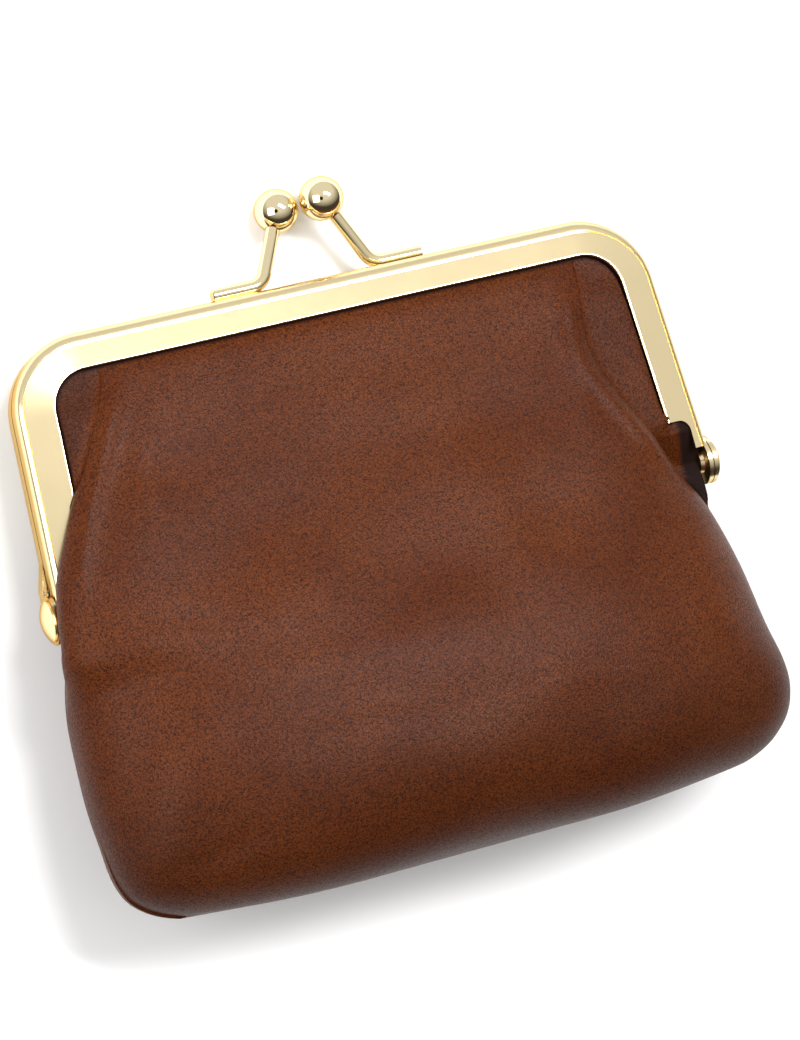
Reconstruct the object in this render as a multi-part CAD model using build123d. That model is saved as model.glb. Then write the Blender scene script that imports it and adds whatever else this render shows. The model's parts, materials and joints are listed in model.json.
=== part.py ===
from build123d import *
import math
import os

os.makedirs("parts", exist_ok=True)

# Driving dimensions in mm. They are worked out standing up: X along the mouth, -Y the front,
# +Z up to the clasp, with the hinge line on the X axis. lay_down() turns each piece onto its back.

# Frame halves
ARM_X = 50.5            # outer face of an arm, level with the hinge
ARM_LEAN = 2.8          # degrees each arm leans inward going up
TOP_Z = 38.3            # top of the frame above the hinge
CORNER_R = 11.0         # outer corner radius
FLANGE_W = 5.4          # width of the flat face seen from the front
TOP_CREASE = 1.85       # how far in from the outer edge the crease runs along the top
ARM_CREASE = 0.95       # and on the arms
PARTING = 0.15          # each half stands this far off the parting plane
ARM_END_Z = 6.2         # where the flange stops above the hinge
OPEN_ANGLE = 80.0       # full travel of the front half

# Hinge
LUG_R = 3.5
FRONT_LUG_X = (49.75, 50.40)
BACK_LUG_X = (50.55, 51.15)
SHANK_R = 1.10
BORE_R = 1.15
RIVET_HEAD_R = 3.0
RIVET_TIP_X = 52.5
RIVET_TAIL_R = 1.9
RIVET_TAIL_H = 0.55

# Clasp
BALL_R = 3.22
BALL_X = 3.08
BALL_Y = 1.4
BALL_Z = 49.5
WIRE_R = 1.0
WIRE_Z = 39.15
WIRE_Y = 1.15
WIRE_OUT_X = 16.6
WIRE_BEND_X = 8.9
WIRE_BEND_R = 3.0
SOCKET = 1.4            # how far the wire goes into its ball

# Bag: half-width and half-depth at each height, for the part inside the frame and the part below
UPPER = [(-7.0, 43.8, 11.6), (0.0, 43.6, 10.2), (12.0, 43.0, 8.6), (24.0, 42.3, 6.2), (30.6, 40.9, 3.3)]
LOWER = [(-4.0, 49.4, 10.9), (-14.0, 51.4, 14.2), (-24.0, 52.2, 16.4), (-34.0, 51.6, 17.0),
         (-41.0, 49.0, 15.0), (-46.0, 43.0, 9.0)]
LEATHER_T = 1.2
LINING_T = 0.5
LINING_GAP = 0.5
THREAD_R = 0.15
SEAM_ROOM = 1.0         # room for the seam between leather and lining at the sides and bottom

# Lying down
TILT = 8.7              # degrees the clasp end drops when the purse lies on its back


def arm_x(z):
    return ARM_X - z * math.tan(math.radians(ARM_LEAN))


def frame_path(start_z):
    """The outer edge of a frame half, from the left arm over the top to the right arm."""
    points = [(-arm_x(start_z), start_z), (-arm_x(TOP_Z), TOP_Z),
              (arm_x(TOP_Z), TOP_Z), (arm_x(start_z), start_z)]
    return Plane.XZ * FilletPolyline(*points, radius=CORNER_R)


def section_plane(start_z):
    """Local x runs in from the outer edge, local y runs to the back."""
    lean = math.radians(ARM_LEAN)
    inward = (math.cos(lean), 0, -math.sin(lean))
    along = (math.sin(lean), 0, math.cos(lean))
    return Plane(origin=(-arm_x(start_z), 0, start_z), x_dir=inward, z_dir=along)


def sweep_face(face, start_z):
    return sweep(section_plane(start_z) * face, path=frame_path(start_z))


def channel_face(side, crease):
    """The channel: a rounded outer edge, a thin crease, a flat sloping flange and a rear wall."""
    rise = 3.02 + 0.14 * crease
    bevel = [(0, 1.8), (0.06 * crease, 2.30), (0.25 * crease, 2.74), (0.55 * crease, rise - 0.16),
             (crease - 0.07, rise)]
    bevel_line = Spline(*[(n, side * d) for n, d in bevel])
    groove = [(crease - 0.07, rise), (crease - 0.05, rise - 0.34), (crease + 0.05, rise - 0.34),
              (crease + 0.08, rise + 0.03), (FLANGE_W - 0.3, 3.95)]
    groove_line = Polyline(*[(n, side * d) for n, d in groove])
    lip = [(FLANGE_W - 0.3, 3.95), (FLANGE_W, 3.85), (FLANGE_W, 3.55), (FLANGE_W - 0.25, 3.36)]
    lip_line = Spline(*[(n, side * d) for n, d in lip])
    inner = [(FLANGE_W - 0.25, 3.36), (1.9, 2.68), (1.0, 2.25), (0.6, 1.75), (0.6, 0.65),
             (4.4, 0.65), (4.4, PARTING), (0, PARTING), (0, 1.8)]
    inner_line = Polyline(*[(n, side * d) for n, d in inner])
    return make_face([bevel_line, groove_line, lip_line, inner_line])


def corner_plane(angle):
    """Across the frame at a point round its left corner, by the angle from upright it runs at there."""
    lean = math.radians(ARM_LEAN)
    start_z = TOP_Z - CORNER_R + CORNER_R * math.sin(lean)
    middle_x = -arm_x(start_z) + CORNER_R * math.cos(lean)
    inward = (math.cos(angle), 0, -math.sin(angle))
    along = (math.sin(angle), 0, math.cos(angle))
    origin = (middle_x - CORNER_R * inward[0], 0, TOP_Z - CORNER_R - CORNER_R * inward[2])
    return Plane(origin=origin, x_dir=inward, z_dir=along)


def channel(side):
    """A frame half's channel. The crease runs closer to the outer edge on the arms than along the top."""
    lean = math.radians(ARM_LEAN)
    start = corner_plane(lean)
    arm = extrude(start * channel_face(side, ARM_CREASE), amount=-(start.origin.Z - 1.9) / math.cos(lean))
    stations = []
    for k in range(7):
        t = k / 6
        crease = ARM_CREASE + (TOP_CREASE - ARM_CREASE) * t * t * (3 - 2 * t)
        stations.append(corner_plane(lean + (math.pi / 2 - lean) * t) * channel_face(side, crease))
    left = arm + loft(stations)
    end = corner_plane(math.pi / 2)
    top = extrude(end * channel_face(side, TOP_CREASE), amount=-2 * end.origin.X)
    return left + top + mirror(left, about=Plane.YZ)


def band(side, n0, n1, d0, d1, start_z):
    points = [(n0, side * d0), (n1, side * d0), (n1, side * d1), (n0, side * d1), (n0, side * d0)]
    return sweep_face(make_face(Polyline(*points)), start_z)


def block(x0, x1, y0, y1, z0, z1):
    return Pos((x0 + x1) / 2, (y0 + y1) / 2, (z0 + z1) / 2) * Box(abs(x1 - x0), abs(y1 - y0), abs(z1 - z0))


def disc_x(x0, x1, radius):
    return Pos((x0 + x1) / 2, 0, 0) * Rot(0, 90, 0) * Cylinder(radius, abs(x1 - x0))


def arch_cut(hand):
    """Clears the flange and the rear wall away below the arm's end, leaving the outer strip."""
    middle = hand * (arm_x(ARM_END_Z) - 1.9 - 5.0)
    plane = Plane(origin=(middle, 8, ARM_END_Z - 6.0), x_dir=(1, 0, 0), z_dir=(0, 1, 0))
    return extrude(plane * RectangleRounded(10.0, 12.0, 1.7), amount=16, both=True)


def jog(hand, lug_x):
    """Carries the back half's arm out and down to its lug, which lies outside the front half's."""
    x0, x1 = lug_x
    outline = [(arm_x(8) - 0.6, 8), (arm_x(8), 8), (x1, 4.4), (x1, 0), (x0, 0), (x0, 4.3)]
    face = make_face(Polyline(*[(hand * x, z) for x, z in outline], close=True))
    return extrude(Plane(origin=(0, PARTING, 0), x_dir=(1, 0, 0), z_dir=(0, -1, 0)) * face, amount=-2.3)


def frame_half(side, lug_x):
    body = channel(side)
    for hand in (-1, 1):
        body -= arch_cut(hand)
        x0, x1 = hand * lug_x[0], hand * lug_x[1]
        if side > 0:
            body -= block(hand * 47.0, hand * 53.0, 0, 6, -1, 4.3)
            body += jog(hand, lug_x)
        else:
            body += block(x0, x1, -2.4, -PARTING, 0, 3.0)
        body += disc_x(x0, x1, LUG_R)
        body -= disc_x(hand * 45.0, hand * 54.0, BORE_R if side < 0 else SHANK_R + 0.02)
    return body


def rivet(hand):
    """A domed head outside the lugs, a shank through both, and a flattened tail inside."""
    base = BACK_LUG_X[1] + 0.02
    tail = FRONT_LUG_X[0] - 0.03
    top = (RIVET_TIP_X, 0)
    rim = (base + 0.35, RIVET_HEAD_R)
    dome = ThreePointArc(top, (RIVET_TIP_X - 0.24, RIVET_HEAD_R / 2), rim)
    rest = Polyline(rim, (base, RIVET_HEAD_R - 0.1), (base, SHANK_R), (tail, SHANK_R), (tail, RIVET_TAIL_R),
                    (tail - RIVET_TAIL_H, RIVET_TAIL_R - 0.2), (tail - RIVET_TAIL_H, 0), top)
    solid = revolve(make_face([dome, rest]), Axis.X)
    return solid if hand > 0 else Rot(0, 0, 180) * solid


def clasp(hand, side):
    """One wire stem, soldered along the frame's top, and the ball pressed on its end."""
    ball_at = Vector(hand * BALL_X, -side * BALL_Y, BALL_Z)
    bend = Vector(hand * WIRE_BEND_X, side * WIRE_Y, WIRE_Z)
    outer = Vector(hand * WIRE_OUT_X, side * WIRE_Y, WIRE_Z)
    rise = (ball_at - bend).normalized()
    tip = ball_at - rise * (BALL_R - SOCKET)
    path = FilletPolyline(outer, bend, tip, radius=WIRE_BEND_R)
    start = Plane(origin=outer, z_dir=(-hand, 0, 0))
    wire = sweep(start * Circle(WIRE_R), path=path)
    wire -= block(-30, 30, -5, 5, TOP_Z - 2, TOP_Z + 0.01)
    end_edges = wire.faces().filter_by(Axis.X).sort_by(Axis.X)[-1 if hand > 0 else 0].edges()
    wire = chamfer(end_edges, 0.15)
    hole = Plane(origin=ball_at - rise * (BALL_R - SOCKET - 0.03), z_dir=rise)
    ball = Pos(*ball_at) * Sphere(BALL_R)
    ball -= extrude(hole * Circle(WIRE_R + 0.02), amount=-4)
    return wire, ball


def ring(z, half_w, half_d):
    """A closed outline of the bag at one height: flat in the middle, round at the sides."""
    return Pos(0, 0, z) * RectangleRounded(2 * half_w, 2 * half_d, 0.92 * half_d)


def bag_solid(side_in, face_in, low_in, top_z):
    """The bag's filled shape, drawn in from the outside by the given amounts."""
    upper = [ring(z, w - side_in, d - face_in) for z, w, d in UPPER[:-1]]
    z, w, d = UPPER[-1]
    upper.append(ring(top_z, w - side_in, d - face_in))
    lower = [(z, w - side_in, d - face_in) for z, w, d in LOWER]
    lower[0] = (LOWER[0][0] - low_in, LOWER[0][1] - side_in, LOWER[0][2] - face_in)
    lower[-1] = (LOWER[-1][0] + low_in, LOWER[-1][1] - side_in - low_in * 0.4, LOWER[-1][2] - face_in)
    return loft(upper, ruled=True) + loft([ring(*row) for row in lower], ruled=True)


def shell(outer_ins, inner_ins, top_z):
    return bag_solid(*outer_ins, top_z) - bag_solid(*inner_ins, top_z + 1.0)


def half_of(solid, side):
    return solid & block(-60, 60, side * 0.05, side * 30, -60, 60)


def lower_width(z):
    """Half-width of the bag below the hinge."""
    for (z0, w0, d0), (z1, w1, d1) in zip(LOWER, LOWER[1:]):
        if z1 <= z <= z0:
            return w0 + (w1 - w0) * (z - z0) / (z1 - z0)
    return LOWER[-1][1]


def seam(side_x_in, low_in):
    """Seam threads in the room between leather and lining: one down each side, one along the bottom."""
    pieces = []
    for hand in (-1, 1):
        path = Spline(*[Vector(hand * (lower_width(z) - side_x_in), 0, z) for z in range(-12, -37, -4)])
        pieces.append(sweep(Plane(origin=path @ 0, z_dir=path % 0) * Circle(THREAD_R), path=path))
    z = LOWER[-1][0] + low_in
    pieces.append(Pos(0, 0, z) * Rot(0, 90, 0) * Cylinder(THREAD_R, 72))
    return pieces


def lay_down(shape):
    """Turns a piece onto its back and sets the lowest point of the purse on the ground."""
    return Pos(0, 0, GROUND_H) * Rot(-(90 + TILT), 0, 0) * shape


tilt = math.radians(TILT)
GROUND_H = BALL_Y * math.cos(tilt) + BALL_Z * math.sin(tilt) + BALL_R

front_frame = frame_half(-1, FRONT_LUG_X)
back_frame = frame_half(1, BACK_LUG_X)
front_stem, front_ball = clasp(-1, -1)
back_stem, back_ball = clasp(1, 1)

leather = shell((0, 0, 0), (LEATHER_T, LEATHER_T, LEATHER_T), UPPER[-1][0])
lining_out = LEATHER_T + SEAM_ROOM
face_out = LEATHER_T + LINING_GAP
lining = shell((lining_out, face_out, lining_out),
               (lining_out + LINING_T, face_out + LINING_T, lining_out + LINING_T),
               UPPER[-1][0] - 1.2)

front_panel = half_of(leather, -1)
front_lining = half_of(lining, -1)
back_panel = half_of(leather, 1) - block(-60, 60, -1, 1.55, -3.0, 60)
back_panel += band(1, 1.9, 8.2, 1.6, 2.5, 7.0)
back_lining = half_of(lining, 1) + band(1, 1.9, 9.4, 1.05, 1.4, 7.0)
front_panel_hem = band(-1, 1.9, 5.9, 1.6, 2.5, 7.0)
front_lining_hem = band(-1, 1.9, 5.9, 1.05, 1.4, 7.0)

# The back panel is pressed flat where the purse rests.
back_panel -= Rot(TILT, 0, 0) * block(-60, 60, GROUND_H, GROUND_H + 20, -70, 20)

cords = [sweep_face(Pos(1.25, side * 1.7) * Circle(0.5), 7.5) for side in (-1, 1)]
outer_seam = seam(LEATHER_T + 0.30, LEATHER_T + 0.3)
inner_seam = seam(LEATHER_T + 0.72, LEATHER_T + 0.75)

parts = {
    "front_frame": front_frame,
    "back_frame": back_frame,
    "left_rivet": rivet(-1),
    "right_rivet": rivet(1),
    "front_clasp_stem": front_stem,
    "back_clasp_stem": back_stem,
    "front_clasp_ball": front_ball,
    "back_clasp_ball": back_ball,
    "front_panel": front_panel,
    "back_panel": back_panel,
    "front_panel_hem": front_panel_hem,
    "front_lining": front_lining,
    "back_lining": back_lining,
    "front_lining_hem": front_lining_hem,
    "front_channel_cord": cords[0],
    "back_channel_cord": cords[1],
    "left_seam_thread": outer_seam[0],
    "right_seam_thread": outer_seam[1],
    "bottom_seam_thread": outer_seam[2],
    "lining_seam_thread": Compound(children=[s for s in inner_seam]),
}

placed = {name: lay_down(shape) for name, shape in parts.items()}
low = min(shape.bounding_box().min.Y for shape in placed.values())
high = max(shape.bounding_box().max.Y for shape in placed.values())
for name, shape in placed.items():
    shape = Pos(0, -(low + high) / 2, 0) * shape
    export_step(shape, "parts/" + name + ".step")
    box = shape.bounding_box()
    print(name, len(shape.solids()), [round(v, 2) for v in (*box.min, *box.max)])
print("hinge at y", round(-(low + high) / 2, 3), "z", round(GROUND_H, 3))
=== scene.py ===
import json
import math
import bpy
import numpy as np
from mathutils import Matrix, Vector, noise


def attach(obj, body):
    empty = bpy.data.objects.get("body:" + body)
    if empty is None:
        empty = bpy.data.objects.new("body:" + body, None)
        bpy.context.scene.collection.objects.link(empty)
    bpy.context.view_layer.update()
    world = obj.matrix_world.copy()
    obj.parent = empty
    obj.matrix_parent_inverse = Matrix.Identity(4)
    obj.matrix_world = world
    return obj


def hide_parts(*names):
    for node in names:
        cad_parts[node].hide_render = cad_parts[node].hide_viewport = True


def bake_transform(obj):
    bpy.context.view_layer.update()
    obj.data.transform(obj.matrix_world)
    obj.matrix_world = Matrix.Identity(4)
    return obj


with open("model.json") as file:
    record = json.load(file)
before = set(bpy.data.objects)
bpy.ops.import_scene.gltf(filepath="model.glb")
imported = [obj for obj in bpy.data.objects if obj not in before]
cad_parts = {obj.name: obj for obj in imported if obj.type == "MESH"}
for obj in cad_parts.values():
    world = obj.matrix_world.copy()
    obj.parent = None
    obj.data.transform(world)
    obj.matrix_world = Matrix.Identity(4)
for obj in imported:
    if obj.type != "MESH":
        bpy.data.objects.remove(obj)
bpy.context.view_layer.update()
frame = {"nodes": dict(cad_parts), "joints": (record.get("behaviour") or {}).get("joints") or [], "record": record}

# The purse is worked out standing up, in mm: X along the mouth, -Y the front, +Z up to the clasp,
# with the hinge line on the X axis. stood_up turns that into the row frame, lying on its back.
TILT = 8.7
HINGE = Vector(frame["joints"][0]["pos_m"])
MM = 0.001
laid_down = Matrix.Rotation(math.radians(-(90 + TILT)), 4, "X")
stood_up = Matrix.Translation(HINGE) @ laid_down @ Matrix.Scale(MM, 4)
GROUND = HINGE.z / MM

# Frame half, as the metal was made
ARM_X = 50.5
ARM_LEAN = math.tan(math.radians(2.8))
TOP_Z = 38.3
FLANGE_W = 5.4
CORNER_R = 11.0
TUCK = 1.3              # how far the leather goes under the flange

# Bag
LEATHER_T = 1.0
LINING_T = 0.35
LINING_IN = 1.7         # how far the lining lies inside the leather's outer face
SEAM_Z = -46.0          # the bottom seam
TURN_Z = -25.0          # where the front and back begin to turn in to the bottom seam
SEAM_GAP = 0.02         # the crest stops this far short of the side seam where there is no pleat
EDGE_Y = 2.9            # how far from the parting plane a panel's edge lies in its channel
PLEAT_Y = 1.7           # how much further out the pleat's crest stands
HINGE_FOLD_X = 2.6      # how far the fold over the front's left hinge bulges sideways
HINGE_FOLD_Y = 4.3      # and how far it stands out
RIDGE = 0.6             # height of the soft ridge beside the crest
BOTTOM_SAG = 3.0        # how far the bottom seam rides up
SAG_X = 46.0            # this far out from the middle
EDGE_ROWS = 8           # creases fade out over this many rows at the seam and the channel
CHANNEL_Y = 2.95        # how far from the parting plane the leather lies under the flange
FLANGE_Y = 3.9          # leather nearer than this to the parting plane is inside the channel


def place(points):
    """Points standing up, in mm, to points in the row frame, in metres."""
    m = np.array(stood_up)
    return np.asarray(points) @ m[:3, :3].T + m[:3, 3]


def ease(x, a, b):
    """0 below a, 1 above b, and smooth between."""
    t = np.clip((np.asarray(x, float) - a) / (b - a), 0, 1)
    return t * t * (3 - 2 * t)


def bump(x, centre, width):
    return np.exp(-((np.asarray(x, float) - centre) / width) ** 2)


def curve(x, *points):
    """A smooth curve through (x, value) points."""
    xs, ys = np.array(points, float).T
    x = np.clip(np.asarray(x, float), xs[0], xs[-1])
    slopes = np.gradient(ys, xs)
    i = np.clip(np.searchsorted(xs, x) - 1, 0, len(xs) - 2)
    h = xs[i + 1] - xs[i]
    t = (x - xs[i]) / h
    a = ys[i] * (1 + 2 * t) * (1 - t) ** 2 + slopes[i] * h * t * (1 - t) ** 2
    return a + ys[i + 1] * t * t * (3 - 2 * t) + slopes[i + 1] * h * t * t * (t - 1)


# ---------------------------------------------------------------- materials

class Value:
    """A socket that Python's operators work on, by adding Math nodes."""

    def __init__(self, finish, socket):
        self.finish, self.socket = finish, socket

    def _math(self, operation, *args, clamp=False):
        return self.finish.node("ShaderNodeMath", {"operation": operation, "use_clamp": clamp}, *args)

    def __add__(self, other):
        return self._math("ADD", self, other)

    __radd__ = __add__

    def __mul__(self, other):
        return self._math("MULTIPLY", self, other)

    __rmul__ = __mul__

    def __sub__(self, other):
        return self._math("SUBTRACT", self, other)

    def __rsub__(self, other):
        return self._math("SUBTRACT", other, self)

    def clamp(self):
        return self._math("ADD", self, 0.0, clamp=True)

    def smooth(self, low, high, to_low=0.0, to_high=1.0):
        settings = {"interpolation_type": "SMOOTHSTEP"}
        return self.finish.node("ShaderNodeMapRange", settings, self, low, high, to_low, to_high)


class Finish:
    """One material: a Principled shader and the nodes that feed it."""

    def __init__(self, name, **uniform):
        self.material = bpy.data.materials.new(name)
        self.material.use_nodes = True
        self.tree = self.material.node_tree
        self.tree.nodes.clear()
        self.shader = self.tree.nodes.new("ShaderNodeBsdfPrincipled")
        output = self.tree.nodes.new("ShaderNodeOutputMaterial")
        self.tree.links.new(self.shader.outputs[0], output.inputs["Surface"])
        for key, value in uniform.items():
            self.shader.inputs[key.replace("_", " ")].default_value = value
        self.place = self.node("ShaderNodeTexCoord", {}, out="Object")

    def node(self, kind, settings, *sockets, out=0, **named):
        """Adds a node. Sockets are given in order, with None for one left alone, or by name."""
        node = self.tree.nodes.new(kind)
        for key, value in settings.items():
            setattr(node, key, value)
        for key, value in [*enumerate(sockets), *named.items()]:
            if value is None:
                continue
            socket = node.inputs[key if isinstance(key, int) else key.replace("_", " ")]
            if isinstance(value, Value):
                self.tree.links.new(value.socket, socket)
            else:
                socket.default_value = value
        return Value(self, node.outputs[out])

    def noise(self, scale, detail=3, roughness=0.5, distortion=0.0):
        return self.node("ShaderNodeTexNoise", {}, Vector=self.place, Scale=scale, Detail=detail,
                         Roughness=roughness, Distortion=distortion)

    def cells(self, scale, smoothness):
        return self.node("ShaderNodeTexVoronoi", {"feature": "SMOOTH_F1"}, Vector=self.place, Scale=scale,
                         Smoothness=smoothness)

    def mix(self, factor, a, b):
        """Colour a where factor is 0, and b where it is 1."""
        a, b = (colour if isinstance(colour, Value) else (*colour, 1) for colour in (a, b))
        return self.node("ShaderNodeMix", {"data_type": "RGBA"}, factor, *[None] * 5, a, b, out=2)

    def raise_by(self, height, distance, strength):
        return self.node("ShaderNodeBump", {}, Strength=strength, Distance=distance, Height=height)

    def feed(self, **sockets):
        for key, value in sockets.items():
            self.tree.links.new(value.socket, self.shader.inputs[key.replace("_", " ")])
        return self.material


def attribute(finish, name):
    return finish.node("ShaderNodeAttribute", {"attribute_name": name}, out="Fac")


def leather_finish():
    """Brown leather: fine pebbled grain, soft mottling, painted shade in the folds, along the flange and low on
    the front, satin top coat.
    """
    f = Finish("pebbled_leather", Specular_IOR_Level=0.105)
    # depth reads the painted shade attribute: painted shade in the pleats, along the flange's edge, low on the
    # front and by the hinges
    depth = attribute(f, "painted_shade")
    cloudy = f.noise(42, 4, 0.55)
    blotch = f.noise(210, 3, 0.6)
    grain = f.cells(4200, 0.2)
    fine = f.noise(4200, 3, 0.7)
    pore = f.noise(2400, 2, 0.6)
    dark = (fine.smooth(0.44, 0.58) * 0.55 + pore.smooth(0.46, 0.60) * 0.30
            + grain.smooth(0.2, 0.7) * 0.20).clamp()
    tone = (cloudy.smooth(0.3, 0.7) * 0.6 + blotch * 0.5 - 0.05).clamp()
    base = f.mix(tone, (0.088, 0.0178, 0.0026), (0.146, 0.0350, 0.0056))
    speck = f.mix(dark * 0.95, base, (0.014, 0.0023, 0.0007))
    # Painted shade: the colour goes towards near-black where the painted shade attribute is high
    shade = f.mix(depth, speck, (0.010, 0.003, 0.002))
    height = 1 - grain + fine * 0.9 + pore * 0.7
    return f.feed(Base_Color=shade, Roughness=0.31 + dark * 0.14 + depth * 0.3,
                  Normal=f.raise_by(height, 0.00007, 0.55))


def lining_finish():
    """Dark brown twill."""
    f = Finish("twill_lining", Specular_IOR_Level=0.25, Sheen_Weight=0.25)
    bands = {"wave_type": "BANDS", "bands_direction": "DIAGONAL"}
    wave = f.node("ShaderNodeTexWave", bands, Vector=f.place, Scale=900.0, Distortion=0.6, Detail=1.0, out=1)
    cloudy = f.noise(60, 3)
    colour = f.mix((wave * 0.5 + cloudy * 0.5).clamp(), (0.022, 0.012, 0.009), (0.060, 0.034, 0.024))
    return f.feed(Base_Color=colour, Roughness=0.75 + wave * 0.15, Normal=f.raise_by(wave, 0.0001, 0.5))


def gold_finish(name, tint, roughness, worn):
    """Champagne gold plate: warm, near neutral, with faint polishing haze."""
    f = Finish(name, Metallic=1.0, Specular_Tint=(0.72, 0.50, 0.26, 1))
    haze = f.noise(160, 4, 0.6)
    streak = f.noise(1800, 2, 0.5)
    colour = f.mix(haze, tint, tuple(c * 0.95 for c in tint))
    return f.feed(Base_Color=colour, Roughness=roughness + haze * worn + streak * worn * 0.4,
                  Normal=f.raise_by(haze, 0.00006, 0.12))


def plain_finish(name, dark, light, roughness, scale):
    """Twisted paper cord or sewing thread."""
    f = Finish(name, Specular_IOR_Level=0.3)
    twist = f.noise(scale, 3, 0.6, 1.5)
    return f.feed(Base_Color=f.mix(twist, dark, light), Roughness=roughness + twist * 0.1,
                  Normal=f.raise_by(twist, 0.00008, 0.6))


leather = leather_finish()
lining = lining_finish()
frame_gold = gold_finish("champagne_plate", (0.84, 0.69, 0.415), 0.17, 0.05)
rivet_gold = gold_finish("rivet_plate", (0.88, 0.69, 0.41), 0.16, 0.05)
clasp_gold = gold_finish("polished_clasp_plate", (0.95, 0.80, 0.50), 0.05, 0.03)
paper = plain_finish("kraft_cord", (0.42, 0.32, 0.20), (0.62, 0.50, 0.34), 0.8, 900)
thread = plain_finish("brown_thread", (0.05, 0.025, 0.015), (0.10, 0.05, 0.03), 0.6, 2500)

finishes = {"gold": frame_gold, "gold_rivet": rivet_gold, "gold_clasp": clasp_gold, "leather": leather,
            "lining": lining, "paper": paper, "thread": thread}
for part in frame["record"]["subparts"]:
    node = frame["nodes"][part["node"]]
    node.data.materials.clear()
    node.data.materials.append(finishes[part["material_slot"]])


# ---------------------------------------------------------------- the bag

ROWS, LOW_ROWS, COLUMNS = 170, 50, 200
PLEAT = 0.80            # the share of a panel's width inside the pleats


def arm_inner(z):
    """How far out the leather reaches, just under the flange's inner edge and round its corner."""
    corner_r = CORNER_R - FLANGE_W + TUCK
    middle_z = TOP_Z - CORNER_R
    middle_x = ARM_X - ARM_LEAN * middle_z - CORNER_R
    straight = ARM_X - ARM_LEAN * z - FLANGE_W + TUCK
    arc = middle_x + np.sqrt(np.maximum(corner_r ** 2 - (z - middle_z) ** 2, 0))
    return np.where(z > middle_z, arc, straight)


def under_frame(points):
    """How far a point lies inside the flange's inner edge; below zero it is under the flange."""
    x, z = np.abs(points[..., 0]), points[..., 2]
    middle_z = TOP_Z - CORNER_R
    middle_x = ARM_X - ARM_LEAN * middle_z - CORNER_R
    from_arm = ARM_X - ARM_LEAN * z - x
    from_top = TOP_Z - z
    round_part = CORNER_R - np.hypot(x - middle_x, z - middle_z)
    inside = np.where((x > middle_x) & (z > middle_z), round_part, np.minimum(from_arm, from_top))
    return inside - FLANGE_W


def half_width(z, hand):
    """Half-width of the bag at a height: side seam below the hinge, frame channel above it."""
    left = curve(z, (-46, 43.0), (-44, 46.6), (-41.5, 49.2), (-38, 50.8), (-35.5, 51.5), (-31, 52.3),
                 (-26.5, 52.8), (-22, 53.0), (-17, 52.8), (-12, 52.0), (-8, 50.7), (-5, 49.5), (-3, 49.3),
                 (4, 49.2), (6.5, 48.3), (8, 46.0))
    right = curve(z, (-46, 43.0), (-44, 47.0), (-40.9, 50.4), (-35.6, 52.8), (-31, 53.0), (-26.5, 52.4),
                  (-22, 51.6), (-17, 50.7), (-12, 49.8), (-7.4, 49.2), (-3, 49.1), (4, 49.2), (6.5, 48.3),
                  (8, 46.0))
    return np.where(z > 8, arm_inner(z), np.where(hand < 0, left, right))


def mid_depth(z):
    """How far the front stands out at its middle."""
    return curve(z, (-28, 17.2), (-24, 17.5), (-20, 17.4), (-16, 16.9), (-12, 15.8), (-6, 13.8), (0, 11.9),
                 (8, 9.5), (16, 7.4), (24, 5.6), (28, 4.8), (31.5, 3.9), (33.4, 3.0), (34.3, 2.9))


def fold_at(z, hand):
    """How far out the pleat's crest lies on each side: it runs from the frame's corner down to the hinge."""
    left = curve(z, (-16, 52.6), (-9, 52.5), (-4, 52.1), (0, 51.5), (3.5, 50.7), (7, 49.3), (10, 47.8),
                 (15.4, 44.8), (17.6, 43.3), (23, 40.2), (28, 37.4), (31, 36.2), (34.3, 36.0))
    right = curve(z, (-16, 50.2), (-9, 48.5), (-3, 46.4), (4.5, 41.7), (12, 37.9), (16, 36.2), (20, 35.5),
                  (26, 36.2), (31, 37.2), (34.3, 37.6))
    return np.where(hand < 0, left, right)


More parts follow.
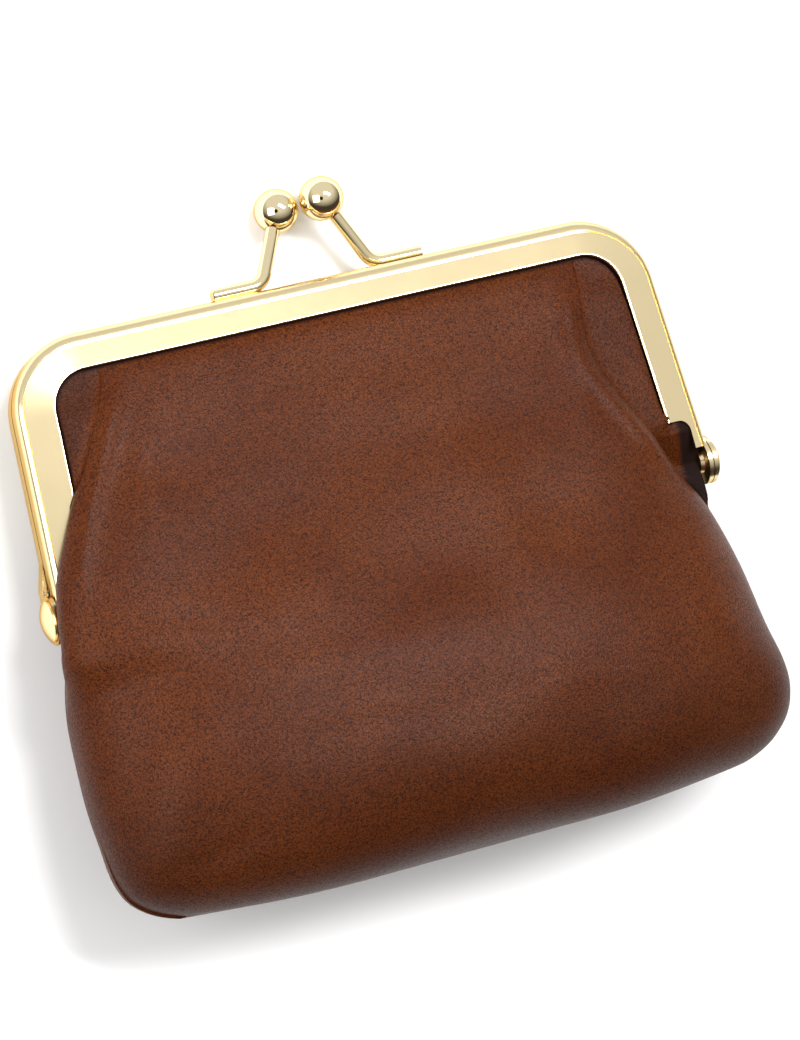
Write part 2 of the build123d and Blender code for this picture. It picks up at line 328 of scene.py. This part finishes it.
def panel_points(side, inset):
    """The outer face of a panel as a grid: rows from the bottom seam to the frame, columns across.
    side is -1 for the front and 1 for the back; inset draws the surface in. Also gives the pleat's crest."""
    low = np.linspace(0, 1, LOW_ROWS + 1)[:-1] * math.pi / 2
    z_low = TURN_Z + (SEAM_Z + inset - TURN_Z) * np.cos(low) ** 0.75
    z_high = np.linspace(TURN_Z, TOP_Z - FLANGE_W + TUCK - inset * 0.4, ROWS - LOW_ROWS)
    grow = np.concatenate([np.sin(low) ** 0.72, np.ones(ROWS - LOW_ROWS)])
    s = np.linspace(-1, 1, COLUMNS)
    S, Z = np.meshgrid(s, np.concatenate([z_low, z_high]))
    G = np.meshgrid(s, grow)[1]
    hand = np.where(S < 0, -1.0, 1.0)
    A = np.abs(S)

    # Across each row: the side seam or channel, and inside it the pleat's crest. Below the front's left
    # hinge the leather bulges out over the seam.
    width = half_width(Z, hand) - inset * (1.05 * ease(-Z, -8, 2) + 0.3 * ease(Z, -2, 8))
    over_hinge = np.where((hand < 0) & (side < 0), ease(Z, -14, -6) * ease(-Z, -14, -7), 0)
    crest = fold_at(Z, hand) - inset * 0.9
    crest = np.minimum(crest, width + HINGE_FOLD_X * over_hinge + 1.4 * ease(Z, 3, 8))
    joined = ease(-Z, 1, 12) * (1 - over_hinge)
    crest = crest + (width - SEAM_GAP - crest) * joined
    if inset > 1:
        width = width - np.maximum(width - crest - 0.1, 0) * ease(-Z, -5, 0)

    # Depth: at the seam or channel, at the foot of the rounded middle, and at the middle.
    end = EDGE_Y * ease(Z, -3, 6) * (1 - 0.22 * inset)
    foot = end + PLEAT_Y * ease(Z, 0, 8) * ease(-Z, -33.5, -24)
    foot = np.maximum(foot, HINGE_FOLD_Y * over_hinge)
    depth = np.maximum((mid_depth(np.maximum(Z, TURN_Z)) - inset) * G, end)

    # The rounded middle, with a soft ridge beside the crest.
    share = PLEAT + (0.995 - PLEAT) * ease(-Z, -1, 7)
    around = np.clip(A / share, 0, 1) * math.pi / 2
    power = 2 / (2.3 + 1.1 * ease(Z, -12, 8))
    x = crest * np.sin(around) ** power
    y = foot + (depth - foot) * np.cos(around) ** power
    y = y + RIDGE * bump(crest - x, 2.4, 1.7) * ease(Z, -6, 6) * ease(-Z, -32, -25)

    # The pleat, from the crest by its lip to the seam or channel.
    t = np.clip((A - share) / (1 - share), 0, 1)
    over = ease(Z, 2, 7)
    lip_x = (crest + width) / 2 * (1 - over) + (width - TUCK - 0.7) * over
    lip_y = (foot + end) / 2 * (1 - over) + np.maximum(foot - 0.6, end + 0.15) * over
    lip_x = lip_x + (width - 0.1 - lip_x) * over_hinge
    lip_y = lip_y + (foot - 0.25 - lip_y) * over_hinge
    lip_x = np.where(over_hinge < 0.01, np.maximum(lip_x, crest + 0.05), lip_x)
    first, second = np.clip(t * 2, 0, 1), np.clip(t * 2 - 1, 0, 1)
    x = np.where(A > share, crest + (lip_x - crest) * first + (width - lip_x) * second, x)
    y = np.where(A > share, foot + (lip_y - foot) * first + (end - lip_y) * second, y)
    sag = (1 - G) * BOTTOM_SAG * (np.abs(x) / SAG_X) ** 4
    return np.stack([hand * x, side * y, Z + sag], -1), crest


# Each crease: from x, z to x, z, its half-width and how far it stands out (or in, below zero)
CREASES = [
    (-44, -1, -26, -10, 2.0, -0.18), (-45, -5, -30, -16, 2.4, 0.14), (-22, 2, -22.5, -9, 1.5, 0.18),
    (-19, 1, -19.8, -10, 1.4, -0.15), (44, -3, 30, -12, 2.4, -0.20), (46, -8, 36, -20, 2.4, 0.15),
    (-52, -42, -38, -19, 5.5, 1.0), (-50, -34, -43, -14, 2.8, -0.25), (50, -38, 39, -20, 5.5, 0.7),
    (-46, -39, -34, -35, 1.4, -0.14), (-42, -41, -30, -38.5, 1.3, 0.12), (-24, -22, -4, -24.5, 1.3, 0.07),
    (8, -27, 30, -27, 1.4, 0.07), (46, -38, 36, -35, 1.5, -0.12), (33, 22, 30, 8, 2.2, 0.30),
    (-33, 24, -35, 10, 2.4, 0.30), (10, 8, 14, -14, 4.5, 0.30), (-6, -8, -2, -18, 5.0, -0.25),
]


def wrinkles(points, side):
    """Soft creases: gathers below the frame, pulls from the hinges and corners, slack at the bottom."""
    x, y, z = points[..., 0], points[..., 1], points[..., 2]
    push = np.zeros_like(x)
    for x0, z0, x1, z1, width, height in CREASES:
        along = np.array([x1 - x0, z1 - z0], float)
        length = np.hypot(*along)
        along /= length
        u = (x - x0) * along[0] + (z - z0) * along[1]
        v = (z - z0) * along[0] - (x - x0) * along[1]
        v = v + 0.6 * np.sin(u * 0.35 + x0)
        push += (height * np.exp(-(v / width) ** 2) * ease(u, -0.25 * length, 0.3 * length)
                 * ease(-u, -1.25 * length, -0.7 * length))
    soft = [noise.noise(Vector((a * 0.055, side * 3.1, b * 0.075))) for a, b in zip(x.ravel(), z.ravel())]
    soft = np.array(soft).reshape(x.shape)
    free = np.where(z > 4, ease(under_frame(points), 0.3, 6), 1)
    return (push + soft * 0.7 * ease(-z, -30, -14)) * free


def normals_of(points):
    du = np.gradient(points, axis=1)
    dv = np.gradient(points, axis=0)
    n = np.cross(du, dv)
    return n / np.maximum(np.linalg.norm(n, axis=-1, keepdims=True), 1e-9)


def grid_mesh(name, points, material):
    rows, columns = points.shape[:2]
    mesh = bpy.data.meshes.new(name)
    index = np.arange(rows * columns).reshape(rows, columns)
    quads = np.stack([index[:-1, :-1], index[:-1, 1:], index[1:, 1:], index[1:, :-1]], -1)
    mesh.from_pydata(place(points.reshape(-1, 3)).tolist(), [], quads.reshape(-1, 4).tolist())
    mesh.materials.append(material)
    mesh.shade_smooth()
    obj = bpy.data.objects.new(name, mesh)
    bpy.context.scene.collection.objects.link(obj)
    return obj


def relax(points, rounds):
    """Smooths a grid of points, leaving its border where it is."""
    p = points.copy()
    for _ in range(rounds):
        q = p.copy()
        around = p[:-2, 1:-1] + p[2:, 1:-1] + p[1:-1, :-2] + p[1:-1, 2:]
        q[1:-1, 1:-1] = 0.5 * p[1:-1, 1:-1] + 0.125 * around
        p = q
    return p


def on_the_ground(points, side, clearance):
    """The back is pressed flat where it meets the ground."""
    if side < 0:
        return points
    t = math.radians(TILT)
    height = GROUND - (points[..., 1] * math.cos(t) + points[..., 2] * math.sin(t)) - clearance
    press = 0.5 * (np.sqrt(height ** 2 + 0.5) - height)
    out = points.copy()
    out[..., 1] -= press * math.cos(t)
    out[..., 2] -= press * math.sin(t)
    return out


def painted_shade_at(points, crest, side):
    """How much painted shade each point gets: in the pleat, under and along the flange's edge, low on the front,
    by the hinges.
    """
    x, z = np.abs(points[..., 0]), points[..., 2]
    inside = under_frame(points)
    deep = np.abs(points[..., 1])
    # Painted shade in the pleat, heavier on the left than on the right
    painted_shade = (0.30 - 0.10 * np.sign(points[..., 0])) * ease(x - crest, 0.2, 2.2) * ease(z, -1, 5)
    # Painted shadow along and under the flange's inner edge
    painted_shade = painted_shade + ease(-inside, -0.55, -0.15) * ease(z, 8, 10) * ease(-deep, -4.9, -4.2)
    # Painted shade on the front, darker towards the bottom
    painted_shade = painted_shade + 0.28 * ease(-z, 21, 36) * (side < 0)
    # Painted shade by the hinges
    painted_shade = painted_shade + ease(x, 45.8, 47.2) * ease(-deep, -4.2, -3.4) * ease(z, -9, -4) * ease(-z, -9, -7)
    return np.clip(painted_shade, 0, 1)


def make_panel(name, side, inset, thickness, material):
    points, crest = panel_points(side, inset)
    points = relax(points, 3)
    n = normals_of(points)
    outward = np.sign(np.sum(n * np.array([0, side, 0.0]), -1, keepdims=True).mean()) or 1.0
    n = n * outward
    row = np.arange(ROWS)
    fade = np.minimum(1, np.minimum(row, row[::-1]) / EDGE_ROWS)[:, None]
    share = 1.0 if inset < 1 else 0.6
    points = points + n * (wrinkles(points, side) * fade)[..., None] * share
    tucked = (under_frame(points) < 0.15) & (points[..., 2] > 5) & (np.abs(points[..., 1]) < FLANGE_Y)
    points[..., 1] = np.where(tucked, side * np.minimum(side * points[..., 1], CHANNEL_Y), points[..., 1])
    points = on_the_ground(points, side, inset + 0.05)
    obj = grid_mesh(name, points, material)
    # The painted shade is stored here for the leather's colour to read
    layer = obj.data.attributes.new("painted_shade", "FLOAT", "POINT")
    layer.data.foreach_set("value", painted_shade_at(points, crest, side).astype(np.float32).ravel())
    if outward < 0:
        obj.data.flip_normals()
    solid = obj.modifiers.new("thickness", "SOLIDIFY")
    solid.thickness = thickness * MM
    solid.offset = -1.0
    return obj


front_leather = make_panel("front_leather", -1, 0.0, LEATHER_T, leather)
back_leather = make_panel("back_leather", 1, 0.0, LEATHER_T, leather)
front_cloth = make_panel("front_cloth", -1, LINING_IN, LINING_T, lining)
back_cloth = make_panel("back_cloth", 1, LINING_IN, LINING_T, lining)

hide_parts("front_panel", "front_panel_hem")
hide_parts("back_panel")
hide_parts("front_lining", "front_lining_hem")
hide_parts("back_lining")

# The front's leather and cloth are baked where they stand. Each is paired with a shift, none for the leather and
# further in for the cloth, which the loop does not use.
for piece, shift in ((front_leather, 0), (front_cloth, LINING_IN * 1.5)):
    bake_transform(piece)
for piece in (back_leather, back_cloth):
    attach(piece, "back_half")


# ---------------------------------------------------------------- floor, lights and camera

PURSE_MIDDLE = Vector((0, 0, 0.01))


def pale_floor():
    mesh = bpy.data.meshes.new("studio_floor")
    mesh.from_pydata([(-4, -4, 0), (4, -4, 0), (4, 4, 0), (-4, 4, 0)], [], [(0, 1, 2, 3)])
    f = Finish("pale_paper", Specular_IOR_Level=0.15)
    grain = f.noise(40, 3)
    colour = f.mix(grain, (0.93, 0.93, 0.93), (0.95, 0.95, 0.95))
    mesh.materials.append(f.feed(Base_Color=colour, Roughness=0.75 + grain * 0.1))
    obj = bpy.data.objects.new("studio_floor", mesh)
    bpy.context.scene.collection.objects.link(obj)


def camera_body():
    """The dark front of the camera, which the polished clasp reflects."""
    mesh = bpy.data.meshes.new("camera_body")
    radius, corners = 0.11, 32
    angles = np.linspace(0, 2 * math.pi, corners + 1)[:-1]
    ring = [(radius * math.cos(a), radius * math.sin(a), 0) for a in angles]
    mesh.from_pydata(ring, [], [tuple(range(corners))])
    f = Finish("camera_black", Specular_IOR_Level=0.1)
    grain = f.noise(60, 2)
    colour = f.mix(grain, (0.01, 0.01, 0.01), (0.02, 0.02, 0.02))
    mesh.materials.append(f.feed(Base_Color=colour, Roughness=0.6 + grain * 0.1))
    obj = bpy.data.objects.new("camera_body", mesh)
    camera = bpy.context.scene.camera
    obj.matrix_world = camera.matrix_world @ Matrix.Translation((0, 0, 0.01))
    bpy.context.scene.collection.objects.link(obj)


def softbox(name, centre, width, height, watts):
    """A rectangular light that faces the purse."""
    light = bpy.data.lights.new(name, "AREA")
    light.shape = "RECTANGLE"
    light.size, light.size_y = width, height
    light.energy = watts
    obj = bpy.data.objects.new(name, light)
    obj.location = centre
    obj.rotation_euler = (PURSE_MIDDLE - Vector(centre)).to_track_quat("-Z", "Y").to_euler()
    bpy.context.scene.collection.objects.link(obj)


def studio():
    """A pale tent, bright overhead and by the clasp, darker by the bag's bottom, with two soft lights."""
    world = bpy.data.worlds.new("studio")
    bpy.context.scene.world = world
    world.use_nodes = True
    tree = world.node_tree
    sky = tree.nodes["Background"]
    where = tree.nodes.new("ShaderNodeTexCoord")
    lean = tree.nodes.new("ShaderNodeVectorMath")
    lean.operation = "DOT_PRODUCT"
    lean.inputs[1].default_value = (0.0, 0.50, 0.55)
    ramp = tree.nodes.new("ShaderNodeValToRGB")
    tree.links.new(where.outputs["Generated"], lean.inputs[0])
    tree.links.new(lean.outputs["Value"], ramp.inputs[0])
    tree.links.new(ramp.outputs[0], sky.inputs[0])
    stops = ((0.0, (0.07, 0.06, 0.05, 1)), (0.5, (1, 1, 1, 1)))
    for element, (position, colour) in zip(ramp.color_ramp.elements, stops):
        element.position, element.color = position, colour
    sky.inputs[1].default_value = 0.82
    softbox("key", (0.27, 0.36, 0.93), 0.55, 0.18, 10.0)
    softbox("fill", (-0.70, 0.10, 0.70), 0.60, 0.60, 6.0)
    bpy.context.scene.view_settings.view_transform = "Standard"


def camera():
    """Seen from the front, a little from the left and below, with the purse turned on the table."""
    side_turn, rise, roll = math.radians(19.8), math.radians(-3.6), math.radians(-15.1)
    level = math.cos(rise)
    back = Vector((-math.sin(side_turn) * level, -math.cos(side_turn) * level, math.sin(rise)))
    right = Vector((math.cos(side_turn), -math.sin(side_turn), 0))
    up = back.cross(right)
    right, up = right * math.cos(roll) + up * math.sin(roll), up * math.cos(roll) - right * math.sin(roll)
    target, distance = Vector((2.4, 0, 2.1)), 626.0
    turn = stood_up.to_3x3().normalized()
    lens = bpy.data.cameras.new("camera")
    lens.sensor_width = 36.0
    lens.lens = 151.9
    obj = bpy.data.objects.new("camera", lens)
    axes = Matrix([turn @ right, turn @ up, turn @ back]).transposed()
    obj.matrix_world = Matrix.Translation(stood_up @ (target + back * distance)) @ axes.to_4x4()
    bpy.context.scene.collection.objects.link(obj)
    bpy.context.scene.camera = obj


pale_floor()
studio()
camera()
camera_body()
